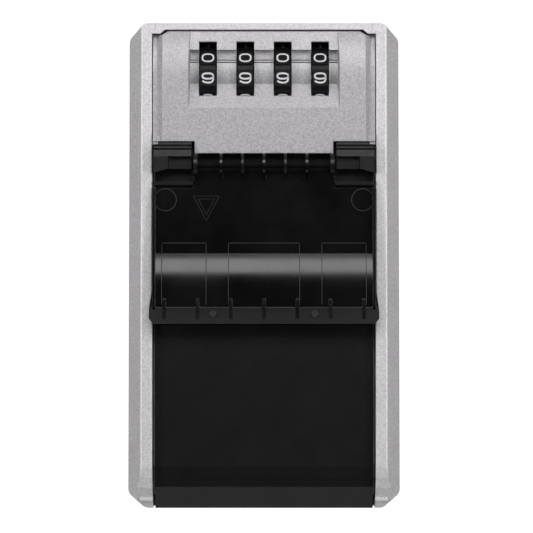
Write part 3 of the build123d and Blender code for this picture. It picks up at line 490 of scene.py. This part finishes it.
# Plugs, bumpers and the liner on the case's back wall: black EPDM rubber, moulded, dull, with a
# bloom that greys it in patches.
rubber_bloom_mm = 5.0
rubber_grain_mm = 0.6
rubber, tree, surface, place = new_material("black_epdm_rubber")
bloom = grain(tree, place, rubber_bloom_mm, detail=4.0)
tint(tree, surface, spread(tree, bloom, soft), "#121213", "#1C1C1E")
dull(tree, surface, spread(tree, bloom, soft, 0.65, 0.80))
relief(tree, surface, grain(tree, place, rubber_grain_mm), depth_mm=0.03, edge_mm=0.3)

finish_of_slot = {"steel": plated, "brass": brass, "rubber": rubber}
slot_of_node = {part["node"]: part["material_slot"] for part in frame["record"]["subparts"]}
for name, slot in slot_of_node.items():
    if slot in finish_of_slot and name != "flap_pin" and not name.startswith("code_wheel"):
        paint_node(name, finish_of_slot[slot])

# Release springs: two coils of plated spring wire, one behind each tab. A coil stands on a shelf of the door and
# the slide presses it shorter. Each is drawn as a copy of its spring that stays with the door.
for side in ("left", "right"):
    node = f"release_spring_{side}"
    coil = bpy.data.objects.new(f"release_coil_{side}", nodes[node].data.copy())
    bpy.context.scene.collection.objects.link(coil)
    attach(coil, "door")
    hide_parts(node)
    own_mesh(coil)

# Code wheels: brass too, blackened in a salt bath so that nothing glints beside the figures. One is
# pressed to the right of each dial.
bath_stain_mm = 0.9
wheel_grain_mm = 0.4
blackened, tree, surface, place = new_material("blackened_brass")
bath = grain(tree, place, bath_stain_mm, detail=3.0)
tint(tree, surface, spread(tree, bath, clear), "#14110E", "#221C16")
dull(tree, surface, spread(tree, bath, clear, 0.45, 0.60))
surface.inputs["Metallic"].default_value = 0.5
relief(tree, surface, grain(tree, place, wheel_grain_mm), depth_mm=0.008, edge_mm=0.2)
for number in range(1, 5):
    paint_node(f"code_wheel_{number}", blackened)

# Index line: a fine ridge cast across the pocket, broken by the dials' slots. The row of figures that it runs
# through is the code. Its face leans back a little. Behind it a taller dark grey strip, a hair proud of the crest,
# is painted shade for the shadowed groove on each side of it.
shade_mottle_mm = 0.8
# Painted shade: a dark grey with a faint mottle, standing in for the shadow beside the index line.
index_shade_paint, tree, surface, place = new_material("painted_shade_beside_index_line")
shade_mottle = grain(tree, place, shade_mottle_mm, detail=3.0)
tint(tree, surface, spread(tree, shade_mottle, clear), "#4A494B", "#5E5D5F")
surface.inputs["Roughness"].default_value = 0.6

crest_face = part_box("door_casting")[0].y + 3.4 * mm
index_rise = 5.9 * mm
index_height = 0.5 * mm
index_proud = 0.35 * mm
index_lean = 0.16 * mm
shade_strip_height = 1.2 * mm
shade_strip_proud = 0.03 * mm
index_reach = 28.6 * mm
slot_gap = 0.35 * mm
index_z = joint_at["dial_1_spin"].z + index_rise
dial_boxes = [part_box(f"dial_{number}") for number in range(1, 5)]
starts = [-index_reach] + [high.x + slot_gap for low, high in dial_boxes]
ends = [low.x - slot_gap for low, high in dial_boxes] + [index_reach]


def strips(height, proud, lean=0.0):
    """A bar across each stretch of the pocket between two slots, on the face of its crest."""
    mesh = bmesh.new()
    for x0, x1 in zip(starts, ends):
        for vert in bmesh.ops.create_cube(mesh, size=1.0)["verts"]:
            x, y, z = vert.co
            front = proud - (lean if z > 0 else 0)
            vert.co = Vector(((x0 + x1) / 2 + x * (x1 - x0),
                              crest_face + (-front if y < 0 else index_proud),
                              index_z + z * height))
    return mesh


finish_piece(strips(index_height, index_proud, index_lean), "index_line", shaded_door_paint,
             "door")
# The dark strip behind the index line is painted shade.
finish_piece(strips(shade_strip_height, shade_strip_proud), "index_line_painted_shade", index_shade_paint,
             "door")

# Stage: a plain pale floor some way below the safe, which hangs as on a wall, and a white lit sheet
# far behind it, in plain soft studio light.
floor_size = 0.6
floor_drop = 0.34
floor_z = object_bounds()[0].z - floor_drop
bpy.ops.mesh.primitive_plane_add(size=floor_size, location=(0, 0, floor_z))
floor = bpy.context.object
floor.name = "floor"
pale, tree, surface, place = new_material("pale_studio_floor")
surface.inputs["Base Color"].default_value = linear("#EDEDED")
surface.inputs["Roughness"].default_value = 0.9
floor.data.materials.append(pale)

sheet_size = 2.4
sheet_distance = 2.0
bpy.ops.mesh.primitive_plane_add(size=sheet_size, location=(0, sheet_distance, 0),
                                 rotation=(math.pi / 2, 0, 0))
sheet = bpy.context.object
sheet.name = "backdrop"
glow, tree, surface, place = new_material("backlit_white_sheet")
surface.inputs["Base Color"].default_value = linear("#000000")
surface.inputs["Emission Color"].default_value = linear("#FFFFFF")
surface.inputs["Emission Strength"].default_value = 1.0
sheet.data.materials.append(glow)

room_light = 0.035
world = bpy.data.worlds.new("studio")
bpy.context.scene.world = world
world.use_nodes = True
background = world.node_tree.nodes["Background"]
background.inputs["Color"].default_value = linear("#FFFFFF")
background.inputs["Strength"].default_value = room_light
bpy.context.scene.view_settings.view_transform = "Standard"


def softbox(name, azimuth, elevation, distance, width, height, power):
    """A rectangular light that looks at the middle of the safe."""
    data = bpy.data.lights.new(name, "AREA")
    data.shape = "RECTANGLE"
    data.size = width
    data.size_y = height
    data.energy = power
    light = bpy.data.objects.new(name, data)
    bpy.context.scene.collection.objects.link(light)
    a, e = math.radians(azimuth), math.radians(elevation)
    ray = Vector((math.sin(a) * math.cos(e), -math.cos(a) * math.cos(e), math.sin(e)))
    light.location = ray * distance
    light.rotation_euler = (-light.location).to_track_quat("-Z", "Y").to_euler()


softbox("key_softbox", azimuth=3, elevation=31, distance=1.1, width=0.9, height=0.42, power=6.2)
softbox("overhead_softbox", azimuth=0, elevation=89, distance=1.2, width=0.8, height=0.8, power=1.0)
softbox("right_softbox", azimuth=48, elevation=4, distance=1.2, width=0.35, height=0.8, power=7)
softbox("left_softbox", azimuth=-52, elevation=4, distance=1.2, width=0.35, height=0.8, power=7)

# Camera: straight on, from a metre in front of the case's rim, as in the photograph. Its place and
# lens come from the picture's width in pixels, the real size of a pixel and where the safe's middle
# lies in the picture.
image_width = 533
photo_mm_per_pixel = 0.3770
image_middle = 266.5
safe_middle = 264.0
camera_distance = 1.0
near_clip = 0.05
sensor_width = 36.0
rim_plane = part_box("housing")[0].y
data = bpy.data.cameras.new("camera")
data.sensor_width = sensor_width
data.sensor_height = sensor_width
data.sensor_fit = "HORIZONTAL"
data.lens = sensor_width * camera_distance / (image_width * photo_mm_per_pixel * mm)
data.clip_start = near_clip
camera = bpy.data.objects.new("camera", data)
bpy.context.scene.collection.objects.link(camera)
camera.location = ((image_middle - safe_middle) * photo_mm_per_pixel * mm,
                   rim_plane - camera_distance, 0)
camera.rotation_euler = (math.pi / 2, 0, 0)
bpy.context.scene.camera = camera
